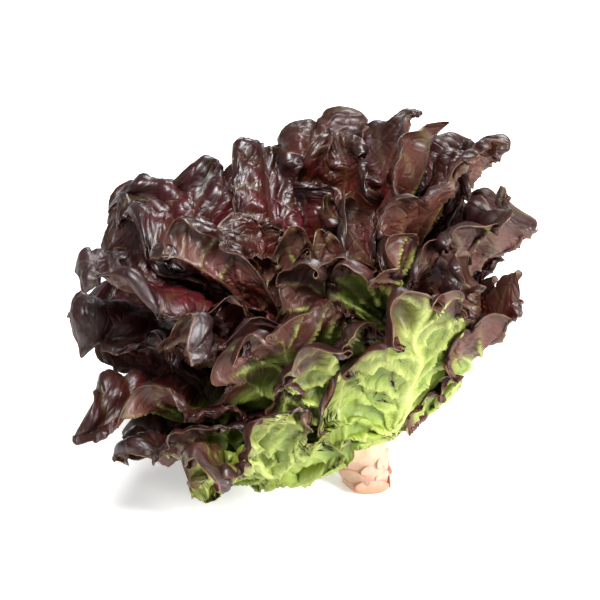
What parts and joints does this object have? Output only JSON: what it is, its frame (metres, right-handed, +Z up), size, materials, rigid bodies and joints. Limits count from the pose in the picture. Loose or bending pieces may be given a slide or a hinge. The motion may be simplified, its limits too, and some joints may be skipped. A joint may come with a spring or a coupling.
{
  "type": "head of lettuce",
  "caption": "Loose-leaf red lettuce head with frilled leaves around a short cut stem, resting on its stem and lowest leaves.",
  "frame": {"origin": "middle of the head's footprint, on the surface it rests on", "axes": "+Z up; seen along +Y the head leans to -X with its stem to the right of the middle"},
  "size_m": [0.285, 0.3074, 0.2228],
  "materials": {
    "leaf_outer": "waxy green leaf, reddish brown towards its edge",
    "leaf_middle": "waxy red-brown leaf, olive at its base",
    "leaf_inner": "glossy dark burgundy leaf with a blistered surface",
    "leaf_heart": "soft yellow-green young leaf",
    "stem": "moist cream stem with pinkish leaf scars"
  },
  "bodies": {
    "root": {"heart_leaf_01": "leaf_heart", "heart_leaf_02": "leaf_heart", "heart_leaf_03": "leaf_heart", "heart_leaf_04": "leaf_heart", "heart_leaf_05": "leaf_heart", "inner_leaf_01": "leaf_inner", "inner_leaf_02": "leaf_inner", "inner_leaf_03": "leaf_inner", "inner_leaf_04": "leaf_inner", "inner_leaf_05": "leaf_inner", "inner_leaf_06": "leaf_inner", "inner_leaf_07": "leaf_inner", "inner_leaf_08": "leaf_inner", "inner_leaf_09": "leaf_inner", "inner_leaf_10": "leaf_inner", "middle_leaf_01": "leaf_middle", "middle_leaf_02": "leaf_middle", "middle_leaf_03": "leaf_middle", "middle_leaf_04": "leaf_middle", "middle_leaf_05": "leaf_middle", "middle_leaf_06": "leaf_middle", "middle_leaf_07": "leaf_middle", "middle_leaf_08": "leaf_middle", "middle_leaf_09": "leaf_middle", "middle_leaf_10": "leaf_middle", "middle_leaf_11": "leaf_middle", "middle_leaf_12": "leaf_middle", "middle_leaf_13": "leaf_middle", "middle_leaf_14": "leaf_middle", "outer_leaf_01": "leaf_outer", "outer_leaf_02": "leaf_outer", "outer_leaf_03": "leaf_outer", "outer_leaf_04": "leaf_outer", "outer_leaf_05": "leaf_outer", "outer_leaf_06": "leaf_outer", "outer_leaf_07": "leaf_outer", "outer_leaf_08": "leaf_outer", "outer_leaf_09": "leaf_outer", "outer_leaf_10": "leaf_outer", "outer_leaf_11": "leaf_outer", "outer_leaf_12": "leaf_outer", "stem": "stem"}
  },
  "joints": []
}
